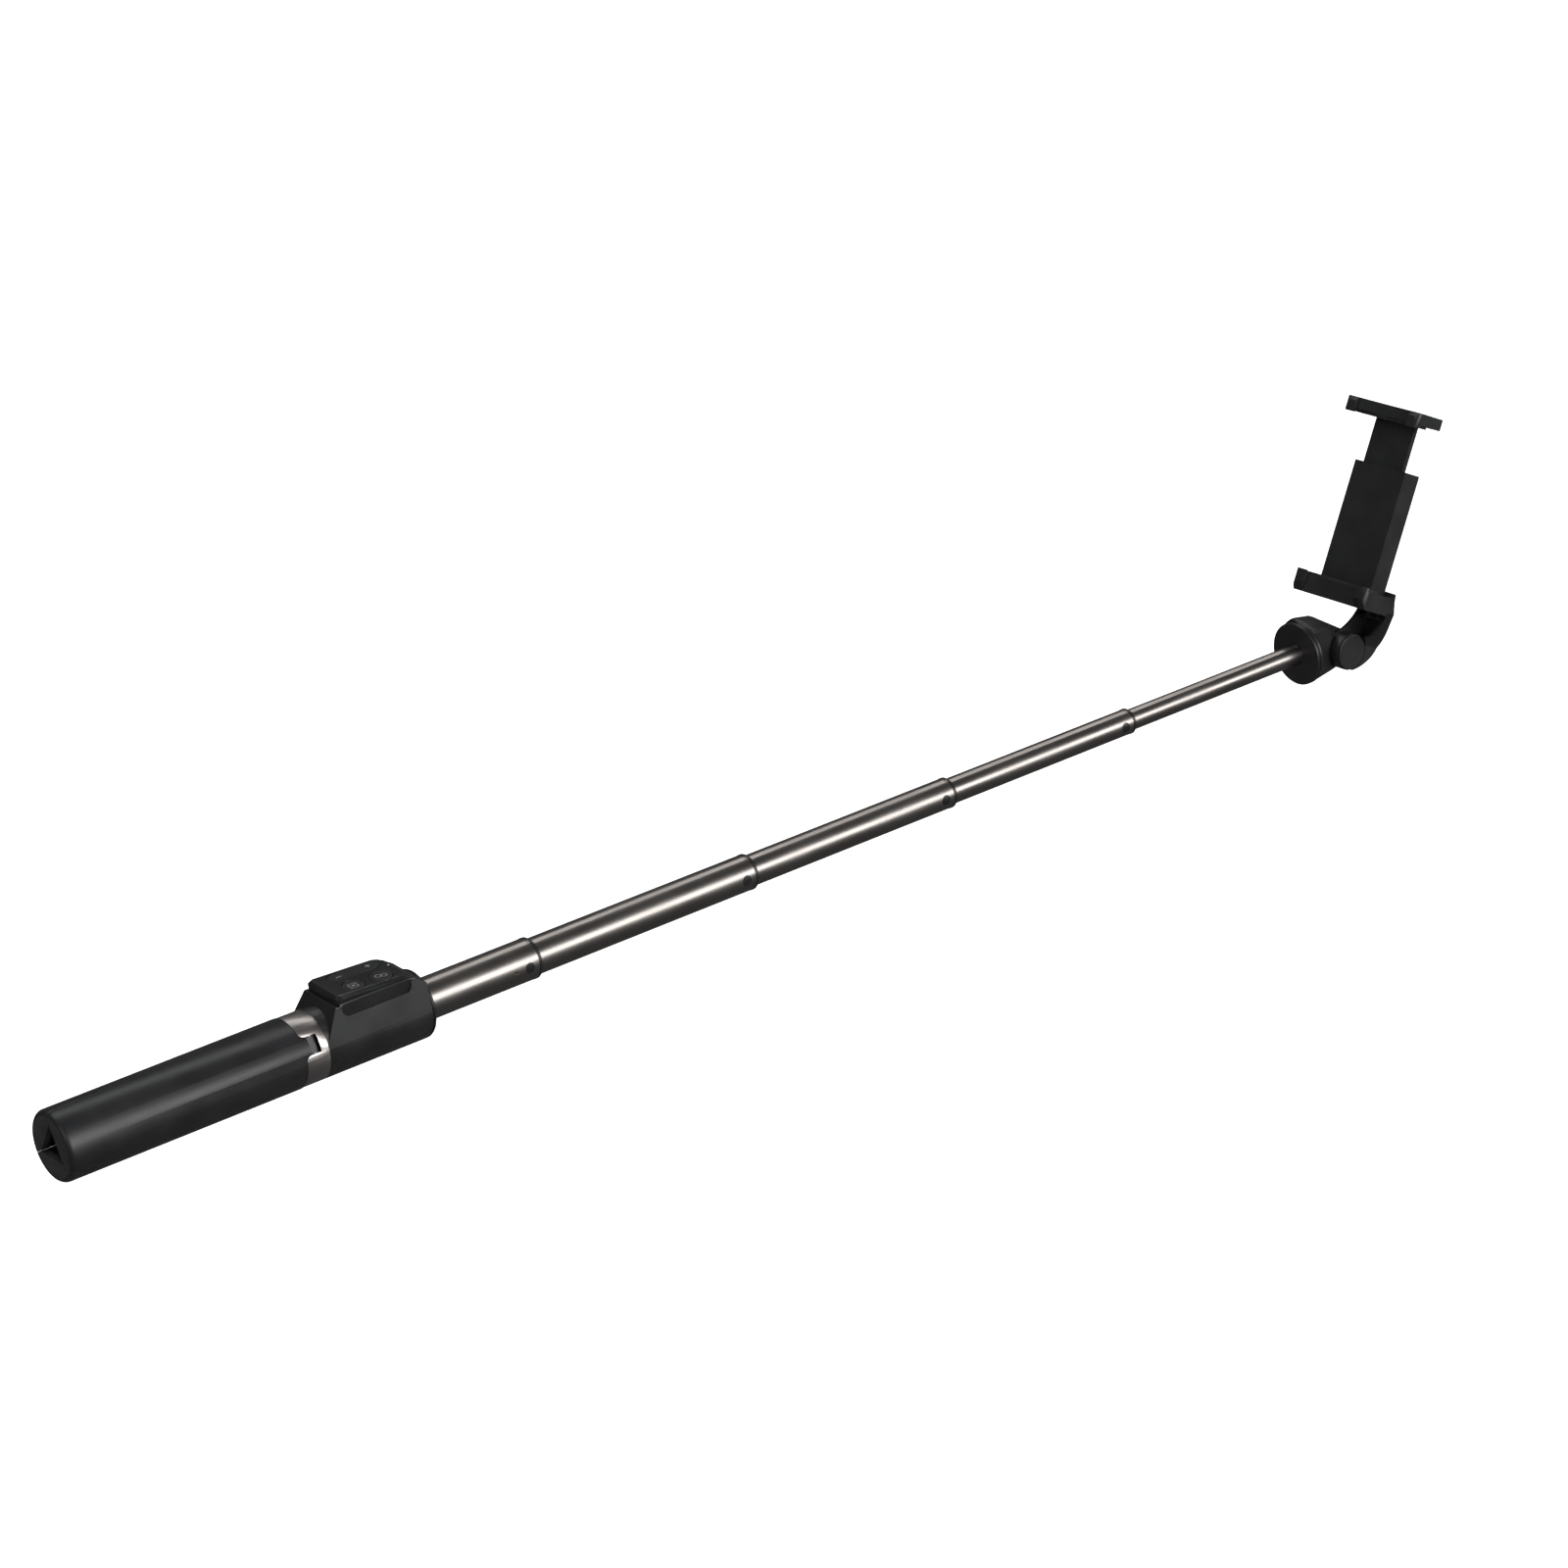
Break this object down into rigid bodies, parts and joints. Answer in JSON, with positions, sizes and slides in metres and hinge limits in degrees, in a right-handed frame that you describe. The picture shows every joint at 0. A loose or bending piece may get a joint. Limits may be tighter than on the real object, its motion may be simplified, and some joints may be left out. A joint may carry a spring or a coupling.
{
  "type": "selfie stick",
  "caption": "Telescopic selfie stick with a fold-out tripod handle, a lift-off remote and a tilting spring clamp for a phone.",
  "frame": {"origin": "on the pole's axis, where the handle's straight side begins, 2.6 mm from the feet's end", "axes": "+X along the pole from the feet to the clamp, +Z the side with the remote, +Y completes the right hand"},
  "size_m": [0.694, 0.0474, 0.1118],
  "materials": {
    "handle_plastic": "satin black",
    "foot_rubber": "matte black",
    "hinge_metal": "satin gunmetal",
    "steel": "satin",
    "bushing_plastic": "matte black",
    "remote_plastic": "satin black",
    "key_plastic": "satin black",
    "key_rubber": "matte",
    "board": "green lacquer",
    "cell": "foil",
    "light": "milky",
    "tube_metal": "brushed grey",
    "collar_plastic": "satin black",
    "neck_plastic": "satin black",
    "clamp_plastic": "satin black",
    "pad_rubber": "matte black"
  },
  "bodies": {
    "grip": {"hinge_ring": "hinge_metal", "hinge_pins": "steel", "ring_screws": "steel", "grip_housing": "handle_plastic", "grip_end_ring": "handle_plastic", "grip_liner": "bushing_plastic"},
    "leg_a_body": {"leg_a": "handle_plastic", "foot_a": "foot_rubber"},
    "leg_b_body": {"leg_b": "handle_plastic", "foot_b": "foot_rubber"},
    "leg_c_body": {"leg_c": "handle_plastic", "foot_c": "foot_rubber"},
    "remote": {"remote_base": "remote_plastic", "remote_cover": "remote_plastic", "key_sheet": "key_rubber", "circuit_board": "board", "battery_cell": "cell", "light_pipe": "light"},
    "zoom_key_body": {"zoom_rocker": "key_plastic"},
    "lens_key_body": {"lens_key": "key_plastic"},
    "shutter_key_body": {"shutter_key": "key_plastic"},
    "section_1": {"tube_1": "tube_metal", "collar_1": "collar_plastic", "slider_1": "bushing_plastic"},
    "section_2": {"tube_2": "tube_metal", "collar_2": "collar_plastic", "slider_2": "bushing_plastic"},
    "section_3": {"tube_3": "tube_metal", "collar_3": "collar_plastic", "slider_3": "bushing_plastic"},
    "section_4": {"tube_4": "tube_metal", "collar_4": "collar_plastic", "slider_4": "bushing_plastic"},
    "section_5": {"tube_5": "tube_metal", "slider_5": "bushing_plastic", "end_disc": "neck_plastic", "swivel_screw": "steel"},
    "neck_body": {"neck": "neck_plastic", "neck_cover": "neck_plastic", "swivel_washer": "steel", "hinge_screw": "steel", "hinge_nut": "steel", "hinge_washer": "steel", "hinge_cap": "neck_plastic"},
    "clamp": {"clamp_arm": "clamp_plastic", "knuckle_cap": "clamp_plastic", "lower_pad": "pad_rubber", "back_cover": "clamp_plastic", "cover_screws": "steel", "guide_rods": "steel", "clamp_springs": "steel"},
    "upper_jaw_body": {"upper_jaw": "clamp_plastic", "upper_pad": "pad_rubber"}
  },
  "joints": [
    {"name": "leg_a_hinge", "type": "hinge", "parent": "grip", "child": "leg_a_body", "pos_m": [0.1044, -0.00953, 0.0055], "axis": [0, 0.5, 0.866], "range_deg": [0, 66]},
    {"name": "leg_b_hinge", "type": "hinge", "parent": "grip", "child": "leg_b_body", "pos_m": [0.1044, 0.00953, 0.0055], "axis": [0, 0.5, -0.866], "range_deg": [0, 66]},
    {"name": "leg_c_hinge", "type": "hinge", "parent": "grip", "child": "leg_c_body", "pos_m": [0.1044, 0, -0.011], "axis": [0, -1, 0], "range_deg": [0, 66]},
    {"name": "section_1_slide", "type": "slide", "parent": "grip", "child": "section_1", "axis": [1, 0, 0], "range_m": [-0.0514, 0]},
    {"name": "section_2_slide", "type": "slide", "parent": "section_1", "child": "section_2", "axis": [1, 0, 0], "range_m": [-0.1049, 0]},
    {"name": "section_3_slide", "type": "slide", "parent": "section_2", "child": "section_3", "axis": [1, 0, 0], "range_m": [-0.1024, 0]},
    {"name": "section_4_slide", "type": "slide", "parent": "section_3", "child": "section_4", "axis": [1, 0, 0], "range_m": [-0.0979, 0]},
    {"name": "section_5_slide", "type": "slide", "parent": "section_4", "child": "section_5", "axis": [1, 0, 0], "range_m": [-0.0957, 0]},
    {"name": "neck_swivel", "type": "hinge", "parent": "section_5", "child": "neck_body", "pos_m": [0.6182, 0, 0], "axis": [1, 0, 0], "continuous": true},
    {"name": "clamp_tilt", "type": "hinge", "parent": "neck_body", "child": "clamp", "pos_m": [0.6389, -0.00012, -0.0022], "axis": [0, 0.9986, -0.0523], "range_deg": [-27, 48]},
    {"name": "upper_jaw_slide", "type": "slide", "parent": "clamp", "child": "upper_jaw_body", "axis": [0.454, 0.0466, 0.8898], "range_m": [-0.0154, 0.0146], "stiffness_N_per_m": 350, "deforming": ["clamp_springs"]},
    {"name": "remote_lift", "type": "slide", "parent": "grip", "child": "remote", "axis": [0, 0, 1], "range_m": [0, 0.03]},
    {"name": "zoom_rock", "type": "hinge", "parent": "remote", "child": "zoom_key_body", "pos_m": [0.1344, 0.0051, 0.0182], "axis": [0, 1, 0], "range_deg": [-2, 2], "stiffness_Nm_per_rad": 0.25},
    {"name": "lens_press", "type": "slide", "parent": "remote", "child": "lens_key_body", "axis": [0, 0, 1], "range_m": [-0.0004, 0], "stiffness_N_per_m": 3000},
    {"name": "shutter_press", "type": "slide", "parent": "remote", "child": "shutter_key_body", "axis": [0, 0, 1], "range_m": [-0.0004, 0], "stiffness_N_per_m": 3000}
  ]
}
